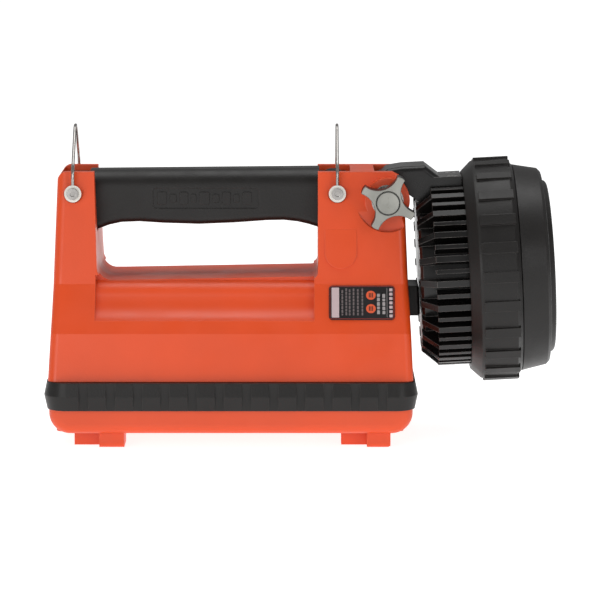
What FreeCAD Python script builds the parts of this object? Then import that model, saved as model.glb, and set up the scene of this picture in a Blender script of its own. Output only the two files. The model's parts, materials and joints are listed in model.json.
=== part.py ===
"""A hand lantern for firefighters: a plastic case with a carry handle, and a lamp head that tilts on a neck.

Frame: millimetres, +X towards the lamp head, +Z up, the origin under the middle of the whole lantern,
at the level of the feet's soles. The knob that clamps the neck is on the -Y side.
"""

import FreeCAD, Part
import Sketcher
import os
from math import cos, radians, sin, sqrt

V = FreeCAD.Vector
X_AXIS, Y_AXIS, Z_AXIS = V(1, 0, 0), V(0, 1, 0), V(0, 0, 1)

doc = FreeCAD.newDocument("lantern")
sheet = doc.addObject("Spreadsheet::Sheet", "Sheet")

# Driving dimensions, in millimetres and degrees. Each becomes a cell of the sheet with this alias.
DIMENSIONS = {
    # case, seen from the side
    "case_rear": -141.8,
    "case_front": 62.6,
    "case_seam": 30.6,
    "shoulder_height": 65.0,
    "crease_height": 91.0,
    "post_top": 152.6,
    "shoulder_inset": 1.2,
    "crease_inset": 2.6,
    "top_inset": 4.4,
    "rear_post_front": -116.8,
    "front_post_rear": 9.3,
    "saddle_rear_height": 92.0,
    "saddle_front_height": 94.0,
    # case, seen from the end
    "top_half": 22.0,
    "crease_half": 37.0,
    "shoulder_half": 51.5,
    "skirt_half": 56.0,
    "fork_half": 16.1,
    # hand recess in the sides of the saddle
    "recess_rear": -115.6,
    "recess_front": 7.2,
    "recess_low": 71.5,
    # pivots
    "pivot_x": 48.4,
    "pivot_z": 137.0,
    "pivot_boss": 12.6,
    "boss_face": 27.3,
    "hood_radius": 16.2,
    "ring_rear_x": -128.4,
    "ring_front_x": 20.2,
    "ring_z": 141.0,
}


class Size:
    """A dimension: its number, and the formula of sheet cells that it comes from."""

    def __init__(self, value, text):
        self.value = value
        self.text = text

    def __add__(self, other):
        return Size(self.value + num(other), f"({self.text} + {text(other)})")

    def __radd__(self, other):
        return Size(num(other) + self.value, f"({text(other)} + {self.text})")

    def __sub__(self, other):
        return Size(self.value - num(other), f"({self.text} - {text(other)})")

    def __rsub__(self, other):
        return Size(num(other) - self.value, f"({text(other)} - {self.text})")

    def __mul__(self, other):
        return Size(self.value * num(other), f"({self.text} * {text(other)})")

    __rmul__ = __mul__

    def __truediv__(self, other):
        return Size(self.value / num(other), f"({self.text} / {text(other)})")

    def __neg__(self):
        return Size(-self.value, f"(0 - {self.text})")


def num(size):
    return size.value if isinstance(size, Size) else float(size)


def text(size):
    return size.text if isinstance(size, Size) else f"({float(size):.6f})"


class Cells:
    """The sheet's cells by alias, as sizes."""

    def __init__(self, dimensions):
        for row, (alias, value) in enumerate(dimensions.items(), start=1):
            sheet.set(f"A{row}", alias)
            sheet.set(f"B{row}", str(value))
            sheet.setAlias(f"B{row}", alias)
            setattr(self, alias, Size(float(value), f"Sheet.{alias}"))


S = Cells(DIMENSIONS)
doc.recompute()


def bind(thing, path, size):
    thing.setExpression(path, text(size))


def body(name):
    made = doc.addObject("PartDesign::Body", name)
    made.Label = name
    return made


def sketch(owner, plane, offset=0):
    """A sketch on one of the body's own planes: XY, XZ or YZ, moved by offset along the plane's normal."""
    made = owner.newObject("Sketcher::SketchObject", "Sketch")
    face = [f for f in owner.Origin.OriginFeatures if f.Role == plane + "_Plane"][0]
    made.AttachmentSupport = (face, [""])
    made.MapMode = "FlatFace"
    bind(made, "AttachmentOffset.Base.z", offset)
    return made


def arc_middle(start, end, radius):
    """The middle of an arc from start to end; it bulges to the right of the way when radius is positive."""
    chord = end - start
    half = chord.Length / 2
    reach = max(radius * radius - half * half, 0) ** 0.5
    rise = abs(radius) - reach
    right = V(chord.y, -chord.x, 0).normalize()
    return (start + end) / 2 + right * (rise if radius > 0 else -rise)


def outline(made, corners, closed=True):
    """An outline through corners (x, y), each pinned to its two sizes.

    A third number on a corner makes the edge that leaves it an arc of that radius: positive bulges to
    the right of the way, negative to the left.
    """
    first = made.GeometryCount
    count = len(corners)
    points = [V(num(c[0]), num(c[1]), 0) for c in corners]
    edges = count if closed else count - 1
    starts = {}
    for i in range(edges):
        here, there = points[i], points[(i + 1) % count]
        if len(corners[i]) == 3:
            middle = arc_middle(here, there, num(corners[i][2]))
            clockwise = num(corners[i][2]) < 0
            arc = Part.Arc(there, middle, here) if clockwise else Part.Arc(here, middle, there)
            made.addGeometry(arc, False)
            starts[i] = 2 if clockwise else 1
        else:
            made.addGeometry(Part.LineSegment(here, there), False)
            starts[i] = 1
    joints = []
    for i in range(edges):
        after = (i + 1) % count
        if after in starts:
            joints.append(Sketcher.Constraint(
                "Coincident", first + i, 3 - starts[i], first + after, starts[after]))
    pins = []
    for i, corner in enumerate(corners):
        edge, point = (i, starts[i]) if i in starts else (i - 1, 3 - starts[i - 1])
        for kind, size in zip(("DistanceX", "DistanceY"), corner):
            pins.append((Sketcher.Constraint(kind, first + edge, point, num(size)), size))
    bends = []
    for i in starts:
        if len(corners[i]) == 3:
            centre = made.Geometry[first + i].Center
            chord = points[(i + 1) % count] - points[i]
            if abs(chord.y) > abs(chord.x):
                bends.append(Sketcher.Constraint("DistanceX", first + i, 3, centre.x))
            else:
                bends.append(Sketcher.Constraint("DistanceY", first + i, 3, centre.y))
    before = made.ConstraintCount
    made.addConstraint(joints + [pin for pin, size in pins] + bends)
    for i, (pin, size) in enumerate(pins):
        bind(made, f"Constraints[{before + len(joints) + i}]", size)


def box_outline(made, x0, x1, y0, y1):
    outline(made, [(x0, y0), (x1, y0), (x1, y1), (x0, y1)])


def circle(made, x, y, radius):
    index = made.addGeometry(Part.Circle(V(num(x), num(y), 0), Z_AXIS, num(radius)), False)
    for kind, size in (("DistanceX", x), ("DistanceY", y)):
        pin = made.addConstraint(Sketcher.Constraint(kind, index, 3, num(size)))
        bind(made, f"Constraints[{pin}]", size)
    pin = made.addConstraint(Sketcher.Constraint("Radius", index, num(radius)))
    bind(made, f"Constraints[{pin}]", radius)


def feature(owner, kind, profile, length, both_ways=False, backwards=False):
    """A Pad or Pocket of a sketch."""
    made = owner.newObject("PartDesign::" + kind, kind)
    made.Profile = profile
    bind(made, "Length", length)
    if both_ways:
        made.SideType = "Symmetric"
    made.Reversed = backwards
    profile.Visibility = False
    doc.recompute()
    return made


def pad(owner, profile, length, **how):
    return feature(owner, "Pad", profile, length, **how)


def pocket(owner, profile, length, **how):
    """A Pocket, checked to have cut something."""
    before = owner.Shape.Volume
    made = feature(owner, "Pocket", profile, length, **how)
    if owner.Shape.Volume > before - 1e-3:
        raise RuntimeError(f"{owner.Label}: {made.Name} cuts nothing")
    return made


def spin(owner, profile, kind="Revolution", axis="X_Axis", angle=360):
    """A full Revolution or Groove of a sketch round one of the body's own axes."""
    made = owner.newObject("PartDesign::" + kind, kind)
    made.Profile = profile
    line = [f for f in owner.Origin.OriginFeatures if f.Role == axis][0]
    made.ReferenceAxis = (line, [""])
    made.Angle = angle
    doc.recompute()
    return made


def soften(owner, radius, wanted, kind="Fillet"):
    """A Fillet or Chamfer on those edges of the body for which wanted(edge) is true."""
    tip = owner.Tip
    names = [f"Edge{i}" for i, edge in enumerate(tip.Shape.Edges, start=1) if wanted(edge)]
    if not names:
        raise RuntimeError(f"{owner.Label}: no edge to soften")
    made = owner.newObject("PartDesign::" + kind, kind)
    made.Base = (tip, names)
    bind(made, "Radius" if kind == "Fillet" else "Size", radius)
    doc.recompute()
    if "Up-to-date" not in made.State or not made.Shape.isValid():
        raise RuntimeError(f"{owner.Label}: {made.Name} fails")
    return made


def runs_along(edge, axis):
    """True for a straight edge within 20 degrees of an axis."""
    if edge.Curve.TypeId != "Part::GeomLine":
        return False
    return abs(edge.Curve.Direction.normalize() * axis) > 0.94


def passes(edge, near, x=None, y=None, z=None):
    """True if the middle of the edge lies within near of the given x, y and z; y counts on both sides."""
    middle = edge.CenterOfMass
    wanted = (
        (x, middle.x),
        (y, abs(middle.y)),
        (z, middle.z),
    )
    return all(abs(num(w) - have) <= near for w, have in wanted if w is not None)


def inside_corner(x0, x1, y0, y1, radius):
    """Corners of a rectangle with rounded corners, anticlockwise."""
    r = radius
    return [
        (x0 + r, y0),
        (x1 - r, y0, r),
        (x1, y0 + r),
        (x1, y1 - r, r),
        (x1 - r, y1),
        (x0 + r, y1, r),
        (x0, y1 - r),
        (x0, y0 + r, r),
    ]


def primitive(kind, label, at=(0, 0, 0), turn=None, **sizes):
    """A Part primitive with its properties bound to sizes."""
    made = doc.addObject("Part::" + kind, label)
    made.Label = label
    for prop, size in sizes.items():
        bind(made, prop, size)
    for axis, size in zip("xyz", at):
        bind(made, f"Placement.Base.{axis}", size)
    if turn:
        made.Placement.Rotation = FreeCAD.Rotation(turn[0], turn[1])
    return made


def joined(kind, label, members, at=None):
    """A MultiFuse or a Compound of the members."""
    made = doc.addObject("Part::" + kind, label)
    if kind == "Compound":
        made.Links = members
    else:
        made.Shapes = members
    made.Label = label
    if at is not None:
        made.Placement = at
    return made


def minus(label, base, tool, at=None):
    made = doc.addObject("Part::Cut", label)
    made.Base = base
    made.Tool = tool
    made.Label = label
    if at is not None:
        made.Placement = at
    return made


def rod(label, x, y, z, radius, length, axis="z"):
    """A cylinder from (x, y, z) along +x, +y or +z."""
    turns = {"x": (Y_AXIS, 90), "y": (X_AXIS, -90), "z": None}
    return primitive("Cylinder", label, at=(x, y, z), turn=turns[axis], Radius=radius, Height=length)


def tube(label, x, y, z, outer, inner, length, axis="z", at=None):
    """A ring or sleeve from (x, y, z) along an axis."""
    turns = {"x": (Y_AXIS, 90), "y": (X_AXIS, -90), "z": None}
    core = {"x": (x - 1, y, z), "y": (x, y - 1, z), "z": (x, y, z - 1)}[axis]
    solid = primitive("Cylinder", label + "_solid", at=(x, y, z), turn=turns[axis],
                      Radius=outer, Height=length)
    hole = primitive("Cylinder", label + "_hole", at=core, turn=turns[axis],
                     Radius=inner, Height=length + 2)
    return minus(label, solid, hole, at)


nodes = []


def node(made):
    nodes.append(made)
    return made


# ---------------------------------------------------------------- upper housing

upper = body("upper_housing")
side = sketch(upper, "XZ")
outline(side, [
    (S.case_rear, S.case_seam + 8),
    (S.case_front, S.case_seam + 8),
    (S.case_front - S.shoulder_inset, S.shoulder_height),
    (S.case_front - S.crease_inset, S.crease_height),
    (S.case_front - S.top_inset, S.pivot_z),
    (57.2, 146.4),
    (55.0, 150.6),
    (51.2, S.post_top),
    (S.front_post_rear, S.post_top),
    (S.front_post_rear, S.saddle_front_height + 3.5, -3.5),
    (S.front_post_rear - 3.5, S.saddle_front_height),
    (S.rear_post_front + 10, S.saddle_rear_height, -8.5),
    (S.rear_post_front + 1.8, S.saddle_rear_height + 9),
    (S.rear_post_front, S.post_top),
    (S.case_rear + 8.5, S.post_top, 6),
    (S.case_rear + 4.2, S.post_top - 4.6),
    (S.case_rear + 2.6, S.crease_height + 9),
    (S.case_rear + 1.5, S.shoulder_height),
])
pad(upper, side, S.skirt_half * 2, both_ways=True)

rim = sketch(upper, "YZ")
box_outline(rim, -90, 90, 0, 200)
outline(rim, [
    (-(S.skirt_half), S.case_seam),
    (S.skirt_half, S.case_seam),
    (S.skirt_half, S.case_seam + 8),
    (S.shoulder_half, S.shoulder_height),
    (S.crease_half, S.crease_height),
    (S.top_half, S.post_top),
    (S.top_half - 2, S.post_top + 12),
    (-(S.top_half - 2), S.post_top + 12),
    (-S.top_half, S.post_top),
    (-S.crease_half, S.crease_height),
    (-S.shoulder_half, S.shoulder_height),
    (-S.skirt_half, S.case_seam + 8),
])
pocket(upper, rim, 500, both_ways=True)


def case_corner_edge(edge):
    """Edges where an end face meets a side face, on the skirt."""
    box = edge.BoundBox
    middle = edge.CenterOfMass
    outer = abs(middle.x - num(S.case_rear)) < 6 or abs(middle.x - num(S.case_front)) < 6
    return outer and box.ZLength > 15 and abs(middle.y) > 24


soften(upper, 5.0, case_corner_edge)

recess = sketch(upper, "YZ", (S.recess_rear + S.recess_front) / 2)
outline(recess, [
    (48.6, S.recess_low, -17.0),
    (36.4, 84.0, 9.0),
    (27.5, S.saddle_rear_height),
    (27.5, 96.0),
    (62.0, 96.0),
    (62.0, S.recess_low),
])
outline(recess, [
    (-48.6, S.recess_low),
    (-62.0, S.recess_low),
    (-62.0, 96.0),
    (-27.5, 96.0),
    (-27.5, S.saddle_rear_height, 9.0),
    (-36.4, 84.0, -17.0),
])
pocket(upper, recess, S.recess_front - S.recess_rear, both_ways=True)

# Space for the battery and the wiring: the skirt, the saddle and the feet of both posts.
middle_x = (S.case_rear + S.case_front) / 2
inner_length = S.case_front - S.case_rear - 7.0
chamber = sketch(upper, "YZ", middle_x)
outline(chamber, [
    (-53.0, S.case_seam - 1),
    (53.0, S.case_seam - 1),
    (53.0, S.case_seam + 8),
    (48.6, S.shoulder_height + 0.5),
    (-48.6, S.shoulder_height + 0.5),
    (-53.0, S.case_seam + 8),
])
pocket(upper, chamber, inner_length, both_ways=True)
hollow = sketch(upper, "XY", S.shoulder_height)
box_outline(hollow, S.case_rear + 5.5, S.case_front - 7.0, -23.5, 23.5)
pocket(upper, hollow, 23.5, backwards=True)
post_hollow = sketch(upper, "XY", S.crease_height - 6)
box_outline(post_hollow, S.front_post_rear + 3.5, S.case_front - 8.0, -26.0, 26.0)
box_outline(post_hollow, S.case_rear + 6.5, S.rear_post_front - 4.0, -26.0, 26.0)
pocket(upper, post_hollow, 28.5, backwards=True)

# Seats for the ends of the handle, open to the hand gap and to the top.
RING_FACE = 24.4
seat = sketch(upper, "XZ")
box_outline(seat, S.case_rear + 6.4, -100.0, 118.3, 170.0)
outline(seat, [
    (-10.0, 119.6),
    (27.6, 119.6),
    (27.6, 170.0),
    (-10.0, 170.0),
])
pocket(upper, seat, S.fork_half * 2, both_ways=True)

# Round seat for the neck, open to the front, with a round boss outside each cheek for the clamp.
KNOB_SWEEP = 17.6
slot = sketch(upper, "XZ")
circle(slot, S.pivot_x, S.pivot_z, S.hood_radius + 1)
pocket(upper, slot, S.fork_half * 2, both_ways=True)
mouth = sketch(upper, "XZ")
box_outline(mouth, S.pivot_x, 90.0, S.pivot_z - S.hood_radius - 1, 190.0)
pocket(upper, mouth, S.fork_half * 2, both_ways=True)
for side_y in (1, -1):
    boss = sketch(upper, "XZ", S.fork_half * side_y)
    circle(boss, S.pivot_x, S.pivot_z, S.pivot_boss)
    pad(upper, boss, S.boss_face - S.fork_half, backwards=side_y < 0)
    spot = sketch(upper, "XZ", S.boss_face * side_y)
    circle(spot, S.pivot_x, S.pivot_z, KNOB_SWEEP)
    pocket(upper, spot, 20, backwards=side_y > 0)
    ring_spots = sketch(upper, "XZ", RING_FACE * side_y)
    circle(ring_spots, S.ring_rear_x, S.ring_z, 5.4)
    circle(ring_spots, S.ring_front_x, S.ring_z, 5.4)
    pocket(upper, ring_spots, 20, backwards=side_y > 0)
bore = sketch(upper, "XZ")
circle(bore, S.pivot_x, S.pivot_z, 4.5)
pocket(upper, bore, 90, both_ways=True)
nut_seat = sketch(upper, "XZ", -24.0)
outline(nut_seat, [
    (S.pivot_x + 8.2 * cos(radians(60 * k)), S.pivot_z + 8.2 * sin(radians(60 * k)))
    for k in range(6)
])
pocket(upper, nut_seat, 20)
ring_bores = sketch(upper, "XZ")
circle(ring_bores, S.ring_rear_x, S.ring_z, 2.1)
circle(ring_bores, S.ring_front_x, S.ring_z, 2.1)
pocket(upper, ring_bores, 90, both_ways=True)
cable_way = sketch(upper, "XY", 112)
circle(cable_way, S.pivot_x, 0, 5.2)
circle(cable_way, 18.0, 0, 3.2)
pocket(upper, cable_way, 12, backwards=True)

# A tongue-shaped pad on each side of the front post, flush at its top and proud at its round foot.
for side_y in (-1, 1):
    pad_sketch = sketch(upper, "XZ", -27.0 * side_y)
    outline(pad_sketch, [
        (13.2, 121.0),
        (13.2, 108.6, 8.95),
        (22.15, 99.7, 8.95),
        (31.1, 108.6),
        (31.1, 121.0),
    ])
    pad(upper, pad_sketch, 10.6, backwards=side_y > 0)
    trim = sketch(upper, "YZ", 22.15)
    outline(trim, [
        (side_y * 29.6, 121.5),
        (side_y * 36.4, 99.0),
        (side_y * 45.0, 99.0),
        (side_y * 45.0, 121.5),
    ])
    pocket(upper, trim, 18.6, both_ways=True)

# Bosses for the screws that come up through the base.
SCREWS = [(x, y) for x in (-132.6, 52.6) for y in (-46.0, 46.0)]
bosses = sketch(upper, "XY", S.case_seam)
for x, y in SCREWS:
    circle(bosses, x, y, 4.4)
pad(upper, bosses, 19)
boss_ribs = sketch(upper, "XY", S.case_seam + 9)
for x, y in SCREWS:
    wall_x = -139.4 if x < 0 else 60.0
    box_outline(boss_ribs, min(x, wall_x), max(x, wall_x), y - 1.5, y + 1.5)
pad(upper, boss_ribs, 10)
boss_webs = sketch(upper, "XY", S.case_seam + 9)
for x, y in SCREWS:
    wall_y = 54.0 if y > 0 else -54.0
    box_outline(boss_webs, x - 1.5, x + 1.5, min(y, wall_y), max(y, wall_y))
pad(upper, boss_webs, 10)
boss_holes = sketch(upper, "XY", S.case_seam)
for x, y in SCREWS:
    circle(boss_holes, x, y, 2.1)
pocket(upper, boss_holes, 16, backwards=True)
node(upper)

# ---------------------------------------------------------------- lower housing

lower = body("lower_housing")
tray = sketch(lower, "XZ")
x0, x1 = S.case_rear + 0.4, S.case_front - 0.2
outline(tray, [
    (x0 + 12, 8.5),
    (x1 - 12, 8.5, 12),
    (x1, 20.5),
    (x1, 37.2),
    (x0, 37.2),
    (x0, 20.5, 12),
])
pad(lower, tray, 112, both_ways=True)
soften(lower, 6.0, lambda e: runs_along(e, Z_AXIS) and abs(e.CenterOfMass.y) > 50)
well = sketch(lower, "XY", 11.5)
outline(well, inside_corner(-138.0, 59.0, -52.6, 52.6, 7.0))
pocket(lower, well, 40, backwards=True)
feet = sketch(lower, "XY")
for y0, y1 in ((40, 50), (-50, -40)):
    box_outline(feet, -113.5, -99.5, y0, y1)
    box_outline(feet, 36.8, 50.0, y0, y1)
pad(lower, feet, 9.2)
bars = sketch(lower, "XY")
for y0, y1 in ((28, 40.01), (-40.01, -28)):
    box_outline(bars, -128.0, -99.5, y0, y1)
    box_outline(bars, 22.4, 50.0, y0, y1)
pad(lower, bars, 9.2)
soften(lower, 3.0, lambda e: runs_along(e, X_AXIS) and passes(e, 0.5, y=50, z=0))
columns = sketch(lower, "XY", 9.5)
for x, y in SCREWS:
    circle(columns, x, y, 4.9)
pad(lower, columns, 20.9)
heads = sketch(lower, "XY")
for x, y in SCREWS:
    circle(heads, x, y, 4.3)
pocket(lower, heads, 14.0, backwards=True)
shanks = sketch(lower, "XY")
for x, y in SCREWS:
    circle(shanks, x, y, 2.2)
pocket(lower, shanks, 60, backwards=True)
contacts = sketch(lower, "XY")
for y in (-18, 18):
    circle(contacts, 0, y, 4.3)
pocket(lower, contacts, 30, backwards=True)
ribs = sketch(lower, "XY", 9.0)
for x in (-129.6, 27.0):
    box_outline(ribs, x - 1.2, x + 1.2, -40, 40)
pad(lower, ribs, 14)
node(lower)

# ---------------------------------------------------------------- bumper and seal

bumper = body("bumper_band")
plan = sketch(bumper, "XY", 30.8)
outline(plan, inside_corner(-144.1, 65.3, -61.8, 61.8, 13.0))
first = pad(bumper, plan, 7.7)
first.TaperAngle = -12.0
plan_low = sketch(bumper, "XY", 30.8)
outline(plan_low, inside_corner(-144.1, 65.3, -61.8, 61.8, 13.0))
second = pad(bumper, plan_low, 8.0, backwards=True)
second.TaperAngle = -12.0
bore_plan = sketch(bumper, "XY")
outline(bore_plan, inside_corner(S.case_rear - 0.1, S.case_front + 0.2, -56.4, 56.4, 5.5))
pocket(bumper, bore_plan, 80, both_ways=True)
long_gap = sketch(bumper, "XY", 30.8)
for side_y in (-1, 1):
    outline(long_gap, [
        (-124.1, side_y * 60.0),
        (-118.9, side_y * 60.0),
        (-118.9, side_y * 66.0),
        (-124.1, side_y * 66.0),
    ])
cut = pocket(bumper, long_gap, 30, both_ways=True)
rows = bumper.newObject("PartDesign::LinearPattern", "LongGaps")
rows.Originals = [cut]
rows.Direction = ([f for f in bumper.Origin.OriginFeatures if f.Role == "X_Axis"][0], [""])
rows.Length = 15.15 * 11
rows.Occurrences = 12
bumper.Tip = rows
doc.recompute()
end_gap = sketch(bumper, "XY", 30.8)
for end_x, way in ((-142.4, -1), (63.6, 1)):
    outline(end_gap, [
        (end_x, -40.6),
        (end_x, -35.4),
        (end_x + way * 6, -35.4),
        (end_x + way * 6, -40.6),
    ])
cut = pocket(bumper, end_gap, 30, both_ways=True)
across = bumper.newObject("PartDesign::LinearPattern", "EndGaps")
across.Originals = [cut]
across.Direction = ([f for f in bumper.Origin.OriginFeatures if f.Role == "Y_Axis"][0], [""])
across.Length = 15.2 * 5
across.Occurrences = 6
bumper.Tip = across
doc.recompute()
node(bumper)

seal = body("housing_seal")
lip = sketch(seal, "XY", 37.35)
outline(lip, inside_corner(-140.4, 61.4, -55.2, 55.2, 7.5))
outline(lip, inside_corner(-138.4, 59.4, -53.2, 53.2, 5.5))
pad(seal, lip, 1.0)
node(seal)

screws = []
for k, (x, y) in enumerate(SCREWS):
    head = rod(f"base_screw_head_{k}", x, y, 10.9, 3.9, 3.0)
    socket = primitive("Prism", f"base_screw_socket_{k}", at=(x, y, 9), Polygon=6, Circumradius=2.2,
                       Height=4)
    shank = rod(f"base_screw_shank_{k}", x, y, 13.5, 2.0, 32.6)
    screws.append(minus(f"base_screw_{k}", joined("MultiFuse", f"base_screw_solid_{k}", [head, shank]),
                        socket))
node(joined("Compound", "base_screws", screws))

# ---------------------------------------------------------------- handle

# The core's bar carries the grip between its two end blocks, which sit in the posts.
CORE_REAR = -120.0
CORE_FRONT = 10.4
CORE_HALF = 9.0
core = body("handle_core")
bar = sketch(core, "XZ")
outline(bar, [
    (-134.9, 118.7),
    (CORE_REAR, 118.7),
    (CORE_REAR, 127.2),
    (CORE_FRONT, 127.2),
    (CORE_FRONT, 120.0),
    (27.2, 120.0),
    (27.2, 147.0, 2.6),
    (24.6, 149.6),
    (CORE_FRONT, 149.6),
    (CORE_FRONT, 145.6),
    (CORE_REAR, 145.6),
    (CORE_REAR, 149.4),
    (-131.4, 149.4, 3.5),
    (-134.9, 145.9),
])
pad(core, bar, S.fork_half * 2 - 0.8, both_ways=True)
flanks = sketch(core, "XY", 100)
box_outline(flanks, CORE_REAR, CORE_FRONT, CORE_HALF, 30.0)
box_outline(flanks, CORE_REAR, CORE_FRONT, -30.0, -CORE_HALF)
pocket(core, flanks, 80, backwards=True)
switch_well = sketch(core, "XY", 130)
circle(switch_well, 18.0, 0, 6.9)
pocket(core, switch_well, 30, backwards=True)
wire_way = sketch(core, "XY", 118)
circle(wire_way, 18.0, 0, 3.0)
pocket(core, wire_way, 20, backwards=True)
node(core)

GRIP_HALF = 14.6
grip = body("handle_grip")
hand = sketch(grip, "XZ")
outline(hand, [
    (CORE_REAR + 0.3, 118.9),
    (-114.3, 119.4),
    (-109.0, 121.4),
    (-102.0, 122.9),
    (-92.0, 123.3),
    (-78.0, 122.4),
    (-58.0, 121.8),
    (-38.0, 122.6),
    (-20.0, 123.9),
    (-10.0, 124.1),
    (-2.0, 123.2),
    (4.0, 121.8),
    (CORE_FRONT - 0.3, 119.9),
    (CORE_FRONT - 0.3, 153.4),
    (CORE_REAR + 0.3, 152.2),
])
pad(grip, hand, GRIP_HALF * 2, both_ways=True)
soften(grip, 10.0, lambda e: e.BoundBox.XLength > 50 and e.CenterOfMass.z > 150)
soften(grip, 4.0, lambda e: e.BoundBox.XLength > 1 and e.BoundBox.YLength < 0.1 and e.CenterOfMass.z < 126)
tunnel = sketch(grip, "YZ", -50)
box_outline(tunnel, -CORE_HALF - 0.1, CORE_HALF + 0.1, 127.1, 145.7)
pocket(grip, tunnel, 200, both_ways=True)
for side_y in (1, -1):
    badge = sketch(grip, "XZ", (GRIP_HALF - 0.7) * side_y)
    outline(badge, inside_corner(-84.0, -24.0, 131.0, 142.6, 2.0))
    pocket(grip, badge, 2, backwards=side_y > 0)
node(grip)

# ---------------------------------------------------------------- tilting head, drawn along its own axis

HEAD_AT = FreeCAD.Placement(V(100.0, 0, 94.3), FreeCAD.Rotation(Y_AXIS, -3.0))
PIVOT_S = -49.3
PIVOT_R = 45.34
NECK_WIDTH = S.fork_half * 2 - 3.0
NECK_BOLTS = (-9.0, 9.0)


def origin_line(owner, role):
    return ([f for f in owner.Origin.OriginFeatures if f.Role == role][0], [""])


def around(owner, made, angle, count, name):
    """A PolarPattern of a feature about the body's own X axis."""
    ring = owner.newObject("PartDesign::PolarPattern", name)
    ring.Originals = [made]
    ring.Axis = origin_line(owner, "X_Axis")
    ring.Angle = angle
    ring.Occurrences = count
    owner.Tip = ring
    doc.recompute()
    return ring


def radial_box(made, angle, r0, r1, half):
    """A rectangle on a YZ sketch that reaches from r0 to r1, at an angle from up towards +Y."""
    a = radians(angle)
    out, across = V(sin(a), cos(a), 0), V(cos(a), -sin(a), 0)
    points = [out * r0 - across * half, out * r1 - across * half,
              out * r1 + across * half, out * r0 + across * half]
    outline(made, [(p.x, p.y) for p in points])


def lathe(label, profile, at=HEAD_AT):
    """A solid of revolution about the head's axis from a closed outline of (along, radius)."""
    made = body(label)
    made.Placement = at
    section = sketch(made, "XZ")
    outline(section, profile)
    spin(made, section)
    return made


def neck_shoulder_edge(edge):
    """The long edges between the top and the sides of the neck, from the pivot to its front saddle."""
    box = edge.BoundBox
    return box.YLength < 0.1 and box.XLength > 1 and edge.CenterOfMass.z > 58


neck = body("neck")
neck.Placement = HEAD_AT
barrel = sketch(neck, "XZ")
circle(barrel, PIVOT_S, PIVOT_R, 12.0)
pad(neck, barrel, NECK_WIDTH, both_ways=True)
arm = sketch(neck, "XZ")
outline(arm, [
    (PIVOT_S - 11.6, PIVOT_R + 2.9),
    (-37.4, 47.0),
    (-31.4, 42.4),
    (-31.4, 41.4),
    (-24.6, 41.4),
    (-22.0, 49.6),
    (-6.6, 49.6),
    (-6.6, 55.6),
    (-18.8, 55.6),
    (-27.0, 62.5),
    (-40.0, 62.5),
    (PIVOT_S + 0.9, PIVOT_R + S.hood_radius, -S.hood_radius),
    (PIVOT_S - 11.0, PIVOT_R + 11.9),
])
pad(neck, arm, NECK_WIDTH, both_ways=True)
soften(neck, 3.0, neck_shoulder_edge)
neck_bore = sketch(neck, "XZ")
circle(neck_bore, PIVOT_S, PIVOT_R, 4.5)
pocket(neck, neck_bore, 60, both_ways=True)
cable_room = sketch(neck, "XZ")
circle(cable_room, PIVOT_S, PIVOT_R, 9.0)
pocket(neck, cable_room, 14, both_ways=True)
cable_slot = sketch(neck, "XZ")
outline(cable_slot, [
    (-47.0, 42.0),
    (-33.0, 47.5),
    (-30.0, 46.0),
    (-30.0, 38.0),
    (-25.6, 38.0),
    (-25.6, 54.0),
    (-47.0, 54.0),
])
pocket(neck, cable_slot, 7, both_ways=True)
neck_bolts = sketch(neck, "XY", 40)
for y in NECK_BOLTS:
    circle(neck_bolts, -11.8, y, 2.2)
pocket(neck, neck_bolts, 40, backwards=True)
neck_heads = sketch(neck, "XY", 53.0)
for y in NECK_BOLTS:
    circle(neck_heads, -11.8, y, 3.7)
pocket(neck, neck_heads, 20, backwards=True)
node(neck)

sink = lathe("heat_sink", [
    (-33.0, 0),
    (-33.0, 41.0),
    (-31.5, 43.0),
    (-4.4, 43.0),
    (-4.4, 53.3),
    (-0.5, 53.3),
    (-0.5, 39.5),
    (-9.0, 39.5),
    (-9.0, 0),
    (-13.0, 0),
    (-13.0, 39.0),
    (-30.0, 39.0),
    (-30.0, 0),
])
# Deep fins every 15 degrees with a shorter and thinner fin between each pair, open under the neck.
FIN_STEP = 15.0
long_fins = sketch(sink, "YZ", -33.5)
for k in range(21):
    radial_box(long_fins, 2 * FIN_STEP + FIN_STEP * k, 41.2, 53.8, 1.8)
pad(sink, long_fins, 29.3)
short_fins = sketch(sink, "YZ", -24.6)
for k in range(22):
    radial_box(short_fins, 1.5 * FIN_STEP + FIN_STEP * k, 41.2, 53.8, 1.2)
pad(sink, short_fins, 20.4)
bevel = sketch(sink, "XZ")
outline(bevel, [
    (-34.0, 45.0),
    (-24.5, 53.6),
    (-24.5, 56.0),
    (-34.0, 56.0),
])
spin(sink, bevel, kind="Groove")
saddle = sketch(sink, "XZ")
box_outline(saddle, -23.0, -4.6, 42.0, 49.5)
pad(sink, saddle, NECK_WIDTH, both_ways=True)
notch = sketch(sink, "XZ")
outline(notch, [
    (-40.0, 41.1),
    (-24.3, 41.1),
    (-21.7, 48.75),
    (-4.2, 48.75),
    (-4.2, 70.0),
    (-40.0, 70.0),
])
pocket(sink, notch, NECK_WIDTH + 0.6, both_ways=True)
sink_bolts = sketch(sink, "XY", 44.5)
for y in NECK_BOLTS:
    circle(sink_bolts, -11.8, y, 2.1)
pocket(sink, sink_bolts, 10, backwards=True)
cable_exit = sketch(sink, "XY", 30)
circle(cable_exit, -27.4, 0, 2.5)
pocket(sink, cable_exit, 20, backwards=True)
node(sink)

bezel = lathe("bezel_ring", [
    (-6.2, 53.8),
    (-6.2, 56.6),
    (-5.4, 57.4),
    (-0.6, 62.0),
    (0.6, 62.4),
    (19.5, 62.9),
    (22.5, 59.2),
    (22.5, 53.8),
])
bars = sketch(bezel, "YZ", 1.0)
radial_box(bars, 3.3, 58.0, 63.8, 3.1)
bar_pad = pad(bezel, bars, 19.8)
around(bezel, bar_pad, 360, 24, "Bars")
node(bezel)

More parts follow.
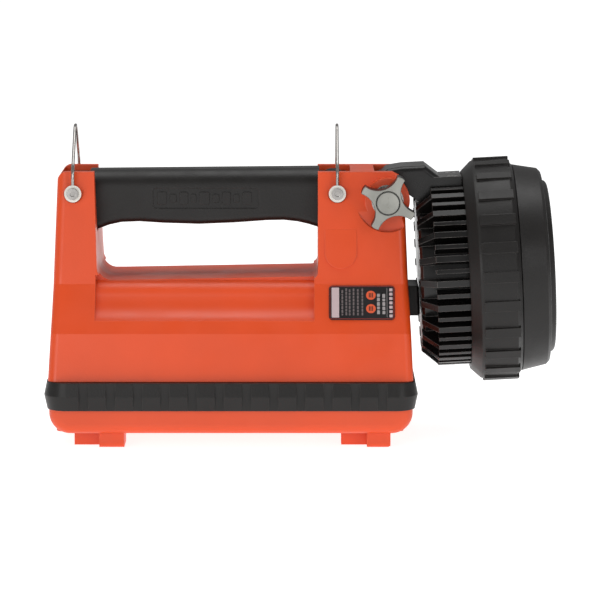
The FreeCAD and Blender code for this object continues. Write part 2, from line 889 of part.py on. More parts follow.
node(lathe("front_bezel", [
    (22.9, 53.6),
    (22.9, 59.0),
    (36.9, 56.2),
    (38.6, 54.4),
    (39.2, 49.6),
    (41.2, 48.6),
    (41.9, 47.6),
    (41.9, 46.4),
    (37.2, 46.4),
    (37.2, 53.6),
]))
node(lathe("lens", [
    (38.2, 0),
    (41.2, 0, 425.0),
    (38.7, 46.0),
    (37.0, 46.0),
    (37.0, 53.3),
    (34.0, 53.3),
    (34.0, 48.6, -283.0),
]))
node(lathe("lens_seal", [
    (32.6, 50.6),
    (33.9, 50.6),
    (33.9, 53.3),
    (32.6, 53.3),
]))
FOCUS = 20.0
APEX_S = -6.9
mouth = [(APEX_S + (8.5 + 6.0 * k) ** 2 / (4 * FOCUS), 8.5 + 6.0 * k) for k in range(8)]
dish = mouth + [(32.4, 51.0), (32.4, 53.2), (31.0, 53.2), (31.0, 52.2)]
dish += [(along - 0.5, radius + 1.1) for along, radius in reversed(mouth)]
node(lathe("reflector", dish))

emitter = rod("emitter_base", -7.2, 0, 0, 4.0, 1.2, axis="x")
dome = primitive("Sphere", "emitter_dome", at=(-4.6, 0, 0), Radius=2.6)
node(joined("MultiFuse", "led_emitter", [emitter, dome], HEAD_AT))
led_plate = rod("led_plate", -8.9, 0, 0, 20.0, 1.5, axis="x")
node(joined("Compound", "led_board", [led_plate], HEAD_AT))
board_disc = rod("driver_disc", -24.0, 0, 0, 31.0, 1.6, axis="x")
coil = rod("driver_coil", -22.4, -8, -9, 8.0, 6.5, axis="x")
chip = primitive("Box", "driver_chip", at=(-22.4, 6, 4), Length=2.0, Width=9, Height=9)
node(joined("MultiFuse", "driver_board", [board_disc, coil, chip], HEAD_AT))
spacers = [
    rod(f"driver_spacer_{k}", -22.3, 26 * cos(radians(90 + 120 * k)), 26 * sin(radians(90 + 120 * k)),
        2.6, 9.2, axis="x")
    for k in range(3)
]
node(joined("Compound", "driver_spacers", spacers, HEAD_AT))

gasket = body("neck_gasket")
gasket.Placement = HEAD_AT
sheet_line = sketch(gasket, "XZ")
box_outline(sheet_line, -21.4, -6.6, 48.85, 49.5)
pad(gasket, sheet_line, NECK_WIDTH - 0.4, both_ways=True)
gasket_holes = sketch(gasket, "XY", 45)
for y in NECK_BOLTS:
    circle(gasket_holes, -11.8, y, 2.4)
pocket(gasket, gasket_holes, 10, backwards=True)
node(gasket)

bolts = []
for k, y in enumerate(NECK_BOLTS):
    head = rod(f"neck_screw_head_{k}", -11.8, y, 53.1, 3.4, 2.4)
    shank = rod(f"neck_screw_shank_{k}", -11.8, y, 45.0, 2.0, 9.0)
    key = primitive("Prism", f"neck_screw_key_{k}", at=(-11.8, y, 54.2), Polygon=6, Circumradius=1.7,
                    Height=4)
    solid = joined("MultiFuse", f"neck_screw_solid_{k}", [head, shank])
    bolts.append(minus(f"neck_screw_{k}", solid, key))
node(joined("Compound", "neck_screws", bolts, HEAD_AT))


def cord(label, plane, path, radius, offset=0, at=None):
    """A round cable of one radius along an open path."""
    made = body(label)
    if at is not None:
        made.Placement = at
    way = sketch(made, plane, offset)
    outline(way, path, closed=False)
    end = sketch(made, "YZ" if plane != "YZ" else "XY", path[0][0] if plane != "YZ" else path[0][1])
    start = path[0]
    centre = {"XZ": (0, start[1]), "XY": (start[1], offset), "YZ": (offset, start[0])}[plane]
    circle(end, centre[0], centre[1], radius)
    pipe = made.newObject("PartDesign::AdditivePipe", "Pipe")
    pipe.Profile = end
    pipe.Spine = (way, [])
    doc.recompute()
    if not made.Shape.isValid() or made.Shape.Volume <= 0:
        raise RuntimeError(f"{label}: the pipe fails")
    return made


node(cord("head_cable", "XZ", [
    (-41.5, 49.0),
    (-30.4, 49.0, -3.0),
    (-27.4, 46.0),
    (-27.4, 28.0, 2.0),
    (-25.4, 26.0),
    (-24.3, 26.0),
], 1.7, at=HEAD_AT))

# ---------------------------------------------------------------- clamp knob on the pivot

KNOB_AT = FreeCAD.Placement(V(num(S.pivot_x), 0, num(S.pivot_z)), FreeCAD.Rotation())
knob = body("knob")
knob.Placement = KNOB_AT
star = sketch(knob, "XZ", 29.3)
lobes = []
for k in range(4):
    middle = 62.0 + 90.0 * k
    for turn, bend in ((-8.6, 6.0), (8.6, -11.6)):
        a = radians(middle + turn)
        lobes.append((15.8 * cos(a), 15.8 * sin(a), bend))
outline(star, lobes)
pad(knob, star, 10.7)
cap_seat = sketch(knob, "XZ", 40.0)
circle(cap_seat, 0, 0, 6.7)
pocket(knob, cap_seat, 1.3)
stud_seat = sketch(knob, "XZ", 29.3)
circle(stud_seat, 0, 0, 4.1)
pocket(knob, stud_seat, 8.6, backwards=True)
node(knob)
cap_disc = rod("cap_disc", 0, -40.4, 0, 6.3, 1.6, axis="y")
cap_dish = primitive("Sphere", "cap_dish", at=(0, -59.4, 0), Radius=20.0)
node(minus("knob_cap", cap_disc, cap_dish, KNOB_AT))
stud = rod("clamp_stud", S.pivot_x, -37.6, S.pivot_z, 4.0, 67.0, axis="y")
node(stud)
node(tube("clamp_washer", S.pivot_x, -28.9, S.pivot_z, 9.0, 4.4, 1.2, axis="y"))
nut_body = primitive("Prism", "nut_body", at=(S.pivot_x, 30.6, S.pivot_z), turn=(X_AXIS, 90), Polygon=6,
                     Circumradius=7.6, Height=6.3)
nut_hole = rod("nut_hole", S.pivot_x, 20, S.pivot_z, 4.06, 20, axis="y")
node(minus("pivot_nut", nut_body, nut_hole))
near = tube("friction_near", S.pivot_x, -16.0, S.pivot_z, 11.0, 4.5, 0.9, axis="y")
far = tube("friction_far", S.pivot_x, 15.1, S.pivot_z, 11.0, 4.5, 0.9, axis="y")
node(joined("Compound", "friction_washers", [near, far]))

# ---------------------------------------------------------------- strap rings

# The wire starts as a small eye beside each cheek, rises, leans in at 45 degrees and rounds over the top.
WIRE = 0.9
EYE_WIRE = 1.0
EYE_HALF = 27.0
EYE_RADIUS = 3.3
LEG_TOP = 8.0
LEG_BEND = 12.0
RING_TOP = 37.0 - WIRE
LEAN = sqrt(0.5)
bend_half = EYE_HALF - LEG_BEND * (1 - LEAN)
bend_top = LEG_TOP + LEG_BEND * LEAN
crown = (bend_half + bend_top - RING_TOP) / (1 / LEAN - 1)
crown_half = crown * LEAN
DIAGONAL = V(1, 1, 1)


def wire_bend(label, x, half, height, radius, start, sweep):
    """Part of a torus across the housing, from an angle measured from +Y towards up."""
    made = primitive("Torus", label, at=(x, half, S.ring_z + height),
                     Radius1=radius, Radius2=WIRE, Angle3=sweep)
    made.Placement.Rotation = FreeCAD.Rotation(X_AXIS, start) * FreeCAD.Rotation(DIAGONAL, 120)
    return made


for label, x in (("ring_rear", S.ring_rear_x), ("ring_front", S.ring_front_x)):
    wires = [wire_bend(label + "_crown", x, 0, RING_TOP - crown, crown, 45, 90)]
    for side_y, mark, start in ((-1, "a", 135), (1, "b", 0)):
        wires.append(primitive("Torus", f"{label}_eye_{mark}", at=(x, side_y * EYE_HALF, S.ring_z),
                               turn=(X_AXIS, 90), Radius1=EYE_RADIUS, Radius2=EYE_WIRE))
        wires.append(rod(f"{label}_leg_{mark}", x, side_y * EYE_HALF, S.ring_z + EYE_RADIUS, WIRE,
                         LEG_TOP - EYE_RADIUS))
        wires.append(wire_bend(f"{label}_bend_{mark}", x, side_y * (EYE_HALF - LEG_BEND), LEG_TOP, LEG_BEND,
                               start, 45))
        wires.append(primitive("Cylinder", f"{label}_lean_{mark}",
                               at=(x, side_y * bend_half, S.ring_z + bend_top), turn=(X_AXIS, side_y * 45),
                               Radius=WIRE, Height=(bend_half - crown_half) / LEAN))
    node(joined("MultiFuse", label, wires))


def reach(side_y, inner, length):
    """Where a rod along Y starts, so that it runs outwards from |y| = inner on that side."""
    return inner if side_y > 0 else -inner - length


screws, washers = [], []
for k, x in enumerate((S.ring_rear_x, S.ring_front_x)):
    for side_y, mark in ((-1, "a"), (1, "b")):
        name = f"{k}{mark}"
        shank = rod(f"ring_screw_shank_{name}", x, reach(side_y, 16.6, 13.4), S.ring_z, 1.85, 13.4, axis="y")
        head = rod(f"ring_screw_head_{name}", x, reach(side_y, 29.2, 1.7), S.ring_z, 3.3, 1.7, axis="y")
        solid = joined("MultiFuse", f"ring_screw_solid_{name}", [shank, head])
        socket = primitive("Prism", f"ring_screw_socket_{name}", turn=(X_AXIS, 90), Polygon=6,
                           at=(x, reach(side_y, 30.0, 2.0) + 2.0, S.ring_z), Circumradius=1.5, Height=2)
        screws.append(minus(f"ring_screw_{name}", solid, socket))
        washers.append(tube(f"ring_washer_{name}", x, reach(side_y, 28.2, 0.9), S.ring_z, 4.8, 1.95, 0.9,
                            axis="y"))
node(joined("Compound", "ring_screws", screws))
node(joined("Compound", "ring_washers", washers))

# ---------------------------------------------------------------- switch in the handle's front end

switch = body("switch_button")
switch.Placement = FreeCAD.Placement(V(18.0, 0, 0), FreeCAD.Rotation())
button_line = sketch(switch, "XZ")
outline(button_line, [
    (0, 141.6),
    (5.2, 141.6),
    (5.2, 150.4),
    (4.2, 151.5),
    (2.4, 152.2),
    (0, 152.4),
])
spin(switch, button_line, axis="Z_Axis")
node(switch)
node(tube("button_bezel", 18.0, 0, 147.4, 6.75, 5.6, 2.8))
node(rod("switch_body", 18.0, 0, 130.3, 6.5, 9.0))
node(rod("switch_leads", 18.0, 0, 84.0, 1.6, 46.0))

# ---------------------------------------------------------------- battery, board and wiring

pack_body = primitive("Box", "battery_case", at=(-127.2, -47.0, 12.3), Length=150.4, Width=94.0,
                      Height=50.0)
lid_line = []
for k, x in enumerate((-78.0, -28.0)):
    lid_line.append(primitive("Box", f"battery_groove_{k}", at=(x, -48.0, 61.8), Length=0.8,
                              Width=96.0, Height=1.0))
node(minus("battery", pack_body, joined("MultiFuse", "battery_grooves", lid_line)))
tabs = [
    primitive("Box", f"battery_tab_{k}", at=(23.25, y, 44.0), Length=5.6, Width=6.3, Height=0.8)
    for k, y in enumerate((-33.0, 26.7))
]
node(joined("Compound", "battery_terminals", tabs))
clips = [
    primitive("Box", f"terminal_clip_{k}", at=(25.0, y - 0.6, 44.9), Length=6.5, Width=7.5, Height=1.6)
    for k, y in enumerate((-33.0, 26.7))
]
node(joined("Compound", "terminal_clips", clips))
foam = [
    primitive("Box", f"battery_foam_{k}", at=(x, y, 62.4), Length=24.0, Width=16.0, Height=2.9)
    for k, (x, y) in enumerate([(x, y) for x in (-114.0, -15.0) for y in (-43.0, 27.0)])
]
node(joined("Compound", "battery_pads", foam))
contact_pins = []
for k, y in enumerate((-18.0, 18.0)):
    pin = rod(f"contact_pin_{k}", 0, y, 7.9, 4.0, 3.4)
    dimple = rod(f"contact_dimple_{k}", 0, y, 7.5, 2.0, 0.8)
    contact_pins.append(minus(f"contact_{k}", pin, dimple))
node(joined("Compound", "charge_contacts", contact_pins))

board = primitive("Box", "board_sheet", at=(38.0, -36.0, 16.5), Length=1.6, Width=72.0, Height=42.0)
relay = primitive("Box", "board_relay", at=(39.6, -12.0, 24.0), Length=12.0, Width=16.0, Height=12.0)
fuse = primitive("Box", "board_fuse", at=(39.6, 12.0, 40.0), Length=6.0, Width=12.0, Height=8.0)
cap_can = rod("board_capacitor", 39.6, -22.0, 44.0, 5.0, 11.0, axis="x")
node(joined("MultiFuse", "control_board", [board, relay, fuse, cap_can]))
posts = [
    rod(f"board_spacer_{k}", 39.7, y, z, 2.8, 19.1, axis="x")
    for k, (y, z) in enumerate([(y, z) for y in (-31.0, 31.0) for z in (21.0, 53.0)])
]
node(joined("Compound", "board_spacers", posts))
pan_heads = [
    rod(f"board_screw_{k}", 36.2, y, z, 2.6, 1.7, axis="x")
    for k, (y, z) in enumerate([(y, z) for y in (-31.0, 31.0) for z in (21.0, 53.0)])
]
node(joined("Compound", "board_screws", pan_heads))
node(cord("lead_red", "XY", [
    (31.6, -29.8),
    (33.2, -29.8, 1.6),
    (34.8, -28.2),
    (34.8, -22.0, -1.6),
    (36.4, -20.4),
    (37.9, -20.4),
], 1.3, offset=45.7))
node(cord("lead_black", "XY", [
    (31.6, 29.8),
    (33.2, 29.8, -1.6),
    (34.8, 28.2),
    (34.8, 22.0, 1.6),
    (36.4, 20.4),
    (37.9, 20.4),
], 1.3, offset=45.7))
node(cord("lamp_cable", "XZ", [
    (39.8, 52.0),
    (44.4, 52.0, 4.0),
    (48.4, 56.0),
    (48.4, 122.6),
], 2.2))
node(tube("cable_grommet", S.pivot_x, 0, 113.2, 5.1, 2.4, 5.0))

# ---------------------------------------------------------------- label and head rest

LABEL_SLOPE = 60.86
label = body("label_plate")
label.Placement = FreeCAD.Placement(V(33.8, -42.5, 81.1), FreeCAD.Rotation(X_AXIS, LABEL_SLOPE))
plate = sketch(label, "XY", 0.05)
outline(plate, inside_corner(-18.4, 18.4, -10.2, 10.2, 2.0))
pad(label, plate, 0.7)
node(label)

rest = body("head_rest")
block = sketch(rest, "XZ")
outline(block, [
    (61.35, 69.5),
    (67.7, 69.5),
    (66.8, 86.5),
    (60.5, 86.5),
])
pad(rest, block, 26, both_ways=True)
soften(rest, 1.5, lambda e: e.CenterOfMass.x > 64 and e.Length > 10)
node(rest)

# ---------------------------------------------------------------- check and export

doc.recompute()
for thing in doc.Objects:
    if "Invalid" in thing.State or "Error" in thing.State:
        raise RuntimeError(f"{thing.Label} ({thing.Name}): {thing.State}")
os.makedirs("parts", exist_ok=True)
for made in nodes:
    shape = made.Shape
    if shape.isNull() or not shape.isValid() or not shape.Solids:
        raise RuntimeError(f"{made.Label}: bad shape")
    shape.exportStep(f"parts/{made.Label}.step")
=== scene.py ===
"""Studio scene of a firefighters' hand lantern: light, materials, the label's print and the grip's marks."""

import json
from math import cos, pi, radians, sin

import bmesh
import bpy
from mathutils import Matrix, Vector


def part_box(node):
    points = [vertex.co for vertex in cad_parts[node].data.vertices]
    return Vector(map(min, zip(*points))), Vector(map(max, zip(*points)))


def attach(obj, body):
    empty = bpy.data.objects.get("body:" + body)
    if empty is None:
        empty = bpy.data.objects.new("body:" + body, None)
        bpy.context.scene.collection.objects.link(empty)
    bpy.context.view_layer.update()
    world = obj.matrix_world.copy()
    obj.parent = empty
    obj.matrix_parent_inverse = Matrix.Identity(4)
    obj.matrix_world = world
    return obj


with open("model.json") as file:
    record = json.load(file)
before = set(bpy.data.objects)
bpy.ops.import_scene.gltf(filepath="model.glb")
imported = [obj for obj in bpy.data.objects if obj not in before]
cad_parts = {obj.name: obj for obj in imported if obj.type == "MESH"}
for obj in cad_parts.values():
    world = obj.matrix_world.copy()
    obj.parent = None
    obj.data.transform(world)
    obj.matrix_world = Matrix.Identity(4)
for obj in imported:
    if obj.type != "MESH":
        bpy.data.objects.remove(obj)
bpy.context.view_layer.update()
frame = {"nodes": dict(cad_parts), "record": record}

MM = 0.001
scene = bpy.context.scene
nodes = frame["nodes"]

# ---------------------------------------------------------------- camera, floor and light

SKY_STRENGTH = 0.34
FLOOR_REACH = 6.0
FLOOR_COLOUR = (0.66, 0.66, 0.66)
FLOOR_GLOW = 0.86

# Name, place, height aimed at over the middle of the lantern, size, and power in watts.
LIGHTS = (
    ("overhead", (0.0, 0.15, 1.5), 0.05, (1.5, 1.0), 12),
    ("front_left", (-0.9, -2.0, 0.55), 0.08, (1.1, 0.7), 10),
    ("front_right", (1.3, -1.7, 0.75), 0.08, (0.6, 0.8), 6),
)


def make_camera():
    """A long lens that looks a little down on the case from the knob's side."""
    target = Vector((-0.0008, 0, 0.0765))
    pitch = radians(8.5)
    distance = 1.870
    data = bpy.data.cameras.new("camera")
    data.sensor_width = 36
    data.lens = 195.8
    data.clip_end = 50
    camera = bpy.data.objects.new("camera", data)
    camera.location = target + distance * Vector((0, -cos(pitch), sin(pitch)))
    camera.rotation_euler = (pi / 2 - pitch, 0, 0)
    scene.collection.objects.link(camera)
    scene.camera = camera


def area_light(name, place, aim, size, power):
    data = bpy.data.lights.new(name, "AREA")
    data.shape = "RECTANGLE"
    data.size, data.size_y = size
    data.energy = power
    lamp = bpy.data.objects.new(name, data)
    lamp.location = place
    lamp.rotation_euler = (Vector(aim) - Vector(place)).to_track_quat("-Z", "Y").to_euler()
    scene.collection.objects.link(lamp)


def make_studio():
    """A soft grey sky over a pale floor, one broad light overhead and two low ones in front."""
    world = bpy.data.worlds.new("studio")
    scene.world = world
    world.use_nodes = True
    background = world.node_tree.nodes["Background"]
    background.inputs["Color"].default_value = (1, 1, 1, 1)
    background.inputs["Strength"].default_value = SKY_STRENGTH
    for name, place, aim_height, size, power in LIGHTS:
        area_light(name, place, (0, 0, aim_height), size, power)
    make_floor()
    scene.view_settings.view_transform = "Standard"


def make_floor():
    """A flat square, pale and faintly self-lit, that reaches past the camera's view."""
    mesh = bpy.data.meshes.new("floor")
    corners = [(x * FLOOR_REACH, y * FLOOR_REACH, 0) for x, y in ((-1, -1), (1, -1), (1, 1), (-1, 1))]
    mesh.from_pydata(corners, [], [(0, 1, 2, 3)])
    floor = bpy.data.objects.new("floor", mesh)
    scene.collection.objects.link(floor)
    paint = bpy.data.materials.new("floor_paint")
    paint.use_nodes = True
    shader = paint.node_tree.nodes["Principled BSDF"]
    shader.inputs["Base Color"].default_value = (*FLOOR_COLOUR, 1)
    shader.inputs["Roughness"].default_value = 0.9
    shader.inputs["Specular IOR Level"].default_value = 0.1
    shader.inputs["Emission Color"].default_value = (1, 1, 1, 1)
    shader.inputs["Emission Strength"].default_value = FLOOR_GLOW
    mesh.materials.append(paint)


# ---------------------------------------------------------------- materials


class Paint:
    """A material whose nodes are added one at a time."""

    def __init__(self, name, colour, roughness, metallic=0.0, **sockets):
        self.material = bpy.data.materials.new(name)
        self.material.use_nodes = True
        self.tree = self.material.node_tree
        self.shader = self.tree.nodes["Principled BSDF"]
        self.shader.inputs["Base Color"].default_value = (*colour, 1)
        self.shader.inputs["Roughness"].default_value = roughness
        self.shader.inputs["Metallic"].default_value = metallic
        for socket, value in sockets.items():
            self.shader.inputs[socket.replace("_", " ")].default_value = value
        self.place = self.add("ShaderNodeTexCoord").outputs["Object"]

    def add(self, kind, **inputs):
        node = self.tree.nodes.new(kind)
        for name, value in inputs.items():
            socket = node.inputs[name.replace("_", " ")]
            if isinstance(value, bpy.types.NodeSocket):
                self.tree.links.new(value, socket)
            else:
                socket.default_value = value
        return node

    def noise(self, scale, detail=4.0):
        """Noise with features about 1 / scale metres across."""
        return self.add("ShaderNodeTexNoise", Vector=self.place, Scale=scale, Detail=detail).outputs[0]

    def spread(self, value, low, high, start=0.35, end=0.65):
        """Maps value from start..end to low..high."""
        return self.add("ShaderNodeMapRange", Value=value, From_Min=start, From_Max=end, To_Min=low,
                        To_Max=high).outputs[0]

    def tint(self, value, dark, light):
        """Colours the surface between two colours by value."""
        ramp = self.add("ShaderNodeValToRGB", Fac=value)
        ramp.color_ramp.elements[0].color = (*dark, 1)
        ramp.color_ramp.elements[1].color = (*light, 1)
        self.tree.links.new(ramp.outputs[0], self.shader.inputs["Base Color"])
        return self

    def rough(self, value):
        self.tree.links.new(value, self.shader.inputs["Roughness"])
        return self

    def soft_edges(self, radius):
        """Rounds the look of sharp edges, and returns 1 on an edge and 0 away from it."""
        bevel = self.add("ShaderNodeBevel", Radius=radius)
        bevel.samples = 6
        flat = self.add("ShaderNodeNewGeometry").outputs["Normal"]
        dot = self.add("ShaderNodeVectorMath")
        dot.operation = "DOT_PRODUCT"
        self.tree.links.new(bevel.outputs[0], dot.inputs[0])
        self.tree.links.new(flat, dot.inputs[1])
        self.tree.links.new(bevel.outputs[0], self.shader.inputs["Normal"])
        return self.spread(dot.outputs["Value"], 1, 0, start=0.80, end=0.985)

    def bump(self, height, depth, strength=1.0):
        """Height in 0..1 stands for a depth in metres."""
        node = self.add("ShaderNodeBump", Height=height, Strength=strength, Distance=depth)
        if self.shader.inputs["Normal"].is_linked:
            self.tree.links.new(self.shader.inputs["Normal"].links[0].from_socket, node.inputs["Normal"])
        self.tree.links.new(node.outputs[0], self.shader.inputs["Normal"])
        return self

    def blend(self, value, first, second):
        """A colour between two, each a plain colour or a socket."""
        mix = self.tree.nodes.new("ShaderNodeMix")
        mix.data_type = "RGBA"
        self.tree.links.new(value, mix.inputs["Factor"])
        for socket, colour in ((mix.inputs[6], first), (mix.inputs[7], second)):
            if isinstance(colour, bpy.types.NodeSocket):
                self.tree.links.new(colour, socket)
            else:
                socket.default_value = (*colour, 1)
        return mix.outputs[2]

    def colour_by(self, socket):
        self.tree.links.new(socket, self.shader.inputs["Base Color"])
        return self


def shade(colour, factor):
    return tuple(min(c * factor, 1.0) for c in colour)


def moulded(name, colour, roughness, grain=1400, depth=0.00006, variation=0.06, edge=0.0004,
            edge_wear_and_highlight=None, **sockets):
    """Injection-moulded plastic or rubber: fine grain, faint mottling, uneven gloss, edges lightened in
    colour, partly as worn edges and partly as a painted highlight.
    """
    paint = Paint(name, colour, roughness, **sockets)
    rim = paint.soft_edges(edge)
    broad = paint.spread(paint.noise(22, 5.0), 0, 1)
    body = paint.blend(broad, shade(colour, 1 - variation), shade(colour, 1 + variation))
    # Edges lightened in patches: worn edges, and a painted highlight along the edges.
    rubbed_and_highlit = paint.add("ShaderNodeMath")
    rubbed_and_highlit.operation = "MULTIPLY"
    paint.tree.links.new(rim, rubbed_and_highlit.inputs[0])
    paint.tree.links.new(paint.spread(paint.noise(160, 5.0), 0.25, 1.0), rubbed_and_highlit.inputs[1])
    paint.colour_by(paint.blend(rubbed_and_highlit.outputs[0], body, edge_wear_and_highlight or shade(colour, 1.25)))
    paint.rough(paint.spread(paint.noise(60, 6.0), roughness - 0.05, roughness + 0.07))
    paint.bump(paint.noise(grain, 3.0), depth)
    return paint.material


def metal(name, colour, roughness):
    """Bare metal with a fine grain, faintly mottled."""
    paint = Paint(name, colour, roughness, metallic=1.0)
    paint.soft_edges(0.0003)
    grain = paint.noise(900, 2.0)
    paint.rough(paint.spread(grain, roughness - 0.06, roughness + 0.08))
    paint.tint(paint.spread(paint.noise(120), 0, 1), shade(colour, 0.82), shade(colour, 1.12))
    paint.bump(grain, 0.00001)
    return paint.material


def faced_knob(name, face, flank):
    """Pale on the faces that look along the clamp's axis, dark on the walls between them."""
    paint = Paint(name, face, 0.34)
    rim = paint.soft_edges(0.0009)
    split = paint.add("ShaderNodeSeparateXYZ", Vector=paint.add("ShaderNodeTexCoord").outputs["Normal"])
    facing = paint.add("ShaderNodeMath")
    facing.operation = "ABSOLUTE"
    paint.tree.links.new(split.outputs["Y"], facing.inputs[0])
    front = paint.spread(facing.outputs[0], 0, 1, start=0.86, end=0.90)
    mottled = paint.blend(paint.spread(paint.noise(90, 6.0), 0, 1), shade(face, 0.86), shade(face, 1.1))
    body = paint.blend(front, flank, mottled)
    paint.colour_by(paint.blend(rim, body, flank))
    paint.rough(paint.spread(paint.noise(200, 4.0), 0.26, 0.42))
    paint.bump(paint.noise(1600, 3.0), 0.00004)
    return paint.material


ORANGE = (0.70, 0.066, 0.008)
INK_BLACK = (0.0040, 0.0034, 0.0031)
LIBRARY = {
    "orange_plastic": moulded("case_orange", ORANGE, 0.38, grain=1100, depth=0.00004, variation=0.04,
                              edge_wear_and_highlight=(0.80, 0.16, 0.07)),
    "black_rubber": moulded("rubber_black", (0.0070, 0.0059, 0.0052), 0.42, grain=900, depth=0.00008,
                            edge=0.0006, edge_wear_and_highlight=(0.040, 0.035, 0.033), Specular_IOR_Level=0.35),
    "seal_rubber": moulded("rubber_seal", (0.012, 0.012, 0.012), 0.6, Specular_IOR_Level=0.3),
    # The pale grey on the black paint's edges is a painted highlight along the fins' edges.
    "black_paint": moulded("paint_black", INK_BLACK, 0.27, grain=700, depth=0.00002, edge=0.0005,
                           edge_wear_and_highlight=(0.20, 0.18, 0.17), Specular_IOR_Level=0.4),
    "black_plastic": moulded("plastic_black", (0.010, 0.0095, 0.009), 0.40, edge_wear_and_highlight=(0.05, 0.045, 0.04),
                             Specular_IOR_Level=0.4),
    "grey_knob": faced_knob("knob_grey", (0.30, 0.30, 0.27), (0.006, 0.006, 0.007)),
    "bright_steel": metal("steel", (0.36, 0.345, 0.33), 0.20),
    "mirror_dish": metal("mirror", (0.9, 0.9, 0.91), 0.10),
    "lamp_yellow": moulded("phosphor", (0.85, 0.75, 0.2), 0.4),
    "board_green": moulded("board_green", (0.02, 0.12, 0.05), 0.4),
    "battery_grey": moulded("battery_grey", (0.06, 0.065, 0.075), 0.5),
    "lead_red": moulded("wire_red", (0.5, 0.02, 0.015), 0.4),
    "lead_black": moulded("wire_black", (0.02, 0.02, 0.02), 0.4),
    "foam": moulded("foam_grey", (0.05, 0.05, 0.05), 0.95, grain=2500, depth=0.0004),
    "washer_white": moulded("nylon_white", (0.74, 0.72, 0.66), 0.4),
    "label_black": moulded("label_black", (0.008, 0.007, 0.008), 0.30, grain=300, depth=0.00001,
                           edge_wear_and_highlight=(0.12, 0.02, 0.015)),
}


def clear_plastic():
    """Clear polycarbonate, very slightly uneven."""
    paint = Paint("lens_clear", (0.97, 0.98, 0.98), 0.03, IOR=1.58, Transmission_Weight=1.0)
    paint.rough(paint.spread(paint.noise(35, 4.0), 0.015, 0.05))
    return paint.material


LIBRARY["clear_lens"] = clear_plastic()


def dress_nodes():
    """Gives each CAD node the material of its slot."""
    slots = {entry["node"]: entry["material_slot"] for entry in frame["record"]["subparts"]}
    for name, thing in nodes.items():
        thing.data.materials.clear()
        thing.data.materials.append(LIBRARY[slots[name]])


# ---------------------------------------------------------------- label print and grip marks

# Lengths here are in millimetres, in the frame of the label or of the grip's panel, and the slope in degrees.
INK = 0.05
LABEL_SLOPE = 60.86
LABEL_THICKNESS = 0.7
BORDER_X = (17.65, 17.9)
BORDER_Y = (9.5, 9.75)
DISC_RADIUS = 2.7
DISC_STEPS = 32
DISC_X = 5.1
DISC_Y = (4.4, -3.6)


def finish_piece(name, builder, material, body):
    """Makes a linked, riding object of a mesh under construction."""
    bmesh.ops.recalc_face_normals(builder, faces=builder.faces)
    mesh = bpy.data.meshes.new(name)
    builder.to_mesh(mesh)
    builder.free()
    mesh.materials.append(material)
    made = bpy.data.objects.new(name, mesh)
    scene.collection.objects.link(made)
    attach(made, body)


def prism(builder, place, corners, low, high):
    """A closed slab over a flat outline, in the frame of place."""
    under = [builder.verts.new(place @ Vector((x, y, low))) for x, y in corners]
    over = [builder.verts.new(place @ Vector((x, y, high))) for x, y in corners]
    builder.faces.new(list(reversed(under)))
    builder.faces.new(over)
    for k in range(len(corners)):
        n = (k + 1) % len(corners)
        builder.faces.new([under[k], under[n], over[n], over[k]])


def rounded(x0, x1, y0, y1, radius, steps=4):
    """The outline of a rectangle with round corners."""
    points = []
    for cx, cy, start in ((x1 - radius, y1 - radius, 0), (x0 + radius, y1 - radius, 90),
                          (x0 + radius, y0 + radius, 180), (x1 - radius, y0 + radius, 270)):
        for k in range(steps + 1):
            a = radians(start + 90 * k / steps)
            points.append((cx + radius * cos(a), cy + radius * sin(a)))
    return points


def frame_at(middle, across, up):
    """A frame in millimetres at middle, with X across, Y up and Z outwards."""
    turn = Matrix((across, up, across.cross(up))).transposed().to_4x4()
    return Matrix.Translation(middle) @ turn @ Matrix.Scale(MM, 4)


def label_frame():
    """Origin at the middle of the label's outer face, X along the case, Y up the slope, Z outwards."""
    low, high = (Vector(corner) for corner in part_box("label_plate"))
    slope = radians(LABEL_SLOPE)
    across = Vector((1, 0, 0))
    up = Vector((0, cos(slope), sin(slope)))
    out = across.cross(up)
    middle = (low + high) / 2 + out * (LABEL_THICKNESS * MM / 2)
    return frame_at(middle, across, up)


def ink(name, colour):
    return moulded(name, colour, 0.38, grain=900, depth=0.00001, edge=0.0001)


def print_label():
    """Generic print that spells nothing."""
    place = label_frame()
    print_border(place)
    print_strips(place)
    print_small_dashes(place)
    print_large_dashes(place)
    print_discs(place)


def print_border(place):
    border = bmesh.new()
    (x_in, x_out), (y_in, y_out) = BORDER_X, BORDER_Y
    for x0, x1, y0, y1 in ((-x_out, x_out, -y_out, -y_in), (-x_out, x_out, y_in, y_out),
                           (-x_out, -x_in, -y_out, y_out), (x_in, x_out, -y_out, y_out)):
        prism(border, place, [(x0, y0), (x1, y0), (x1, y1), (x0, y1)], 0, INK)
    finish_piece("label_border", border, ink("ink_red", (0.30, 0.03, 0.02)), "case")


def print_strips(place):
    """A pale strip down the rear edge and a row of pale blocks down the front edge."""
    strip = bmesh.new()
    prism(strip, place, rounded(-16.9, -12.7, -8.9, 9.0, 0.4), 0, INK)
    pitch = 2.6
    for k in range(7):
        prism(strip, place, rounded(15.4, 17.2, -8.8 + pitch * k, -7.1 + pitch * k, 0.25), 0, INK)
    finish_piece("label_strips", strip, ink("ink_pale", (0.55, 0.42, 0.43)), "case")


def print_small_dashes(place):
    """Columns of narrow dashes of uneven length."""
    dashes = bmesh.new()
    for column, x in enumerate((-10.9, -8.7, -6.8, -4.6, -2.2, 0.3)):
        y = -7.6
        for k in range(9):
            length = 1.0 + 0.9 * abs(sin(2.1 * k + 1.7 * column))
            if y + length > 8.6:
                break
            prism(dashes, place, rounded(x - 0.45, x + 0.45, y, y + length, 0.2, 2), 0, INK)
            y += length + 0.45
    finish_piece("label_small_dashes", dashes, ink("ink_grey", (0.15, 0.12, 0.12)), "case")


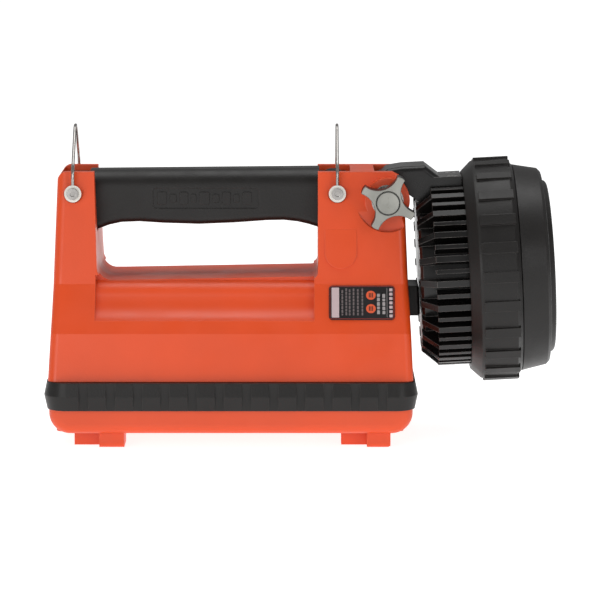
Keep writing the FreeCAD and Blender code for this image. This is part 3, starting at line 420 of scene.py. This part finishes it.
def print_large_dashes(place):
    """Two columns of broad dashes, and a thin line beside them."""
    marks = bmesh.new()
    for column, x in enumerate((9.3, 12.3)):
        y = -6.9
        for k in range(6):
            length = 1.3 + 1.1 * abs(cos(1.3 * k + column))
            prism(marks, place, rounded(x - 0.8, x + 0.8, y, y + length, 0.25, 2), 0, INK)
            y += length + 0.5
            if y > 4.2:
                break
    prism(marks, place, [(14.0, -8.6), (14.2, -8.6), (14.2, 8.6), (14.0, 8.6)], 0, INK)
    finish_piece("label_large_dashes", marks, ink("ink_light", (0.34, 0.31, 0.31)), "case")


def print_discs(place):
    """Two orange discs, each with three dark bars."""
    discs = bmesh.new()
    turns = [2 * pi * k / DISC_STEPS for k in range(DISC_STEPS)]
    for y in DISC_Y:
        outline = [(DISC_X + DISC_RADIUS * cos(turn), y + DISC_RADIUS * sin(turn)) for turn in turns]
        prism(discs, place, outline, 0, INK)
    finish_piece("label_discs", discs, ink("ink_orange", (0.72, 0.10, 0.03)), "case")
    bars = bmesh.new()
    for y in DISC_Y:
        for dx in (-0.9, 0.0, 0.9):
            x = DISC_X + dx
            prism(bars, place, rounded(x - 0.25, x + 0.25, y - 1.4, y + 1.4, 0.2, 2), INK, 2 * INK)
    finish_piece("label_disc_bars", bars, ink("ink_dark", (0.03, 0.012, 0.01)), "case")


PANEL_MIDDLE = Vector((-54.0, 13.9, 136.8))
BLOCK_RISE = 0.5
BLOCK_START = -27.5
BLOCK_WIDTHS = (5.2, 3.6, 4.6, 2.8, 5.6, 3.6, 4.6, 3.0, 5.0)
BLOCK_HALF_HEIGHTS = (3.6, 2.4)
BLOCK_GAP = 1.9
BLOCK_CORNER = 0.9


def mark_grip():
    """Raised generic blocks in the sunk panel on each side of the grip."""
    for side, name in ((-1, "grip_marks_near"), (1, "grip_marks_far")):
        middle = Vector((PANEL_MIDDLE.x, side * PANEL_MIDDLE.y, PANEL_MIDDLE.z)) * MM
        place = frame_at(middle, Vector((-side, 0, 0)), Vector((0, 0, 1)))
        marks = bmesh.new()
        x = BLOCK_START
        for k, width in enumerate(BLOCK_WIDTHS):
            half = BLOCK_HALF_HEIGHTS[k % 2]
            prism(marks, place, rounded(x, x + width, -half, half, BLOCK_CORNER, 3), 0, BLOCK_RISE)
            x += width + BLOCK_GAP
        finish_piece(name, marks, LIBRARY["black_rubber"], "case")


# ---------------------------------------------------------------- build the scene

make_camera()
make_studio()
dress_nodes()
print_label()
mark_grip()
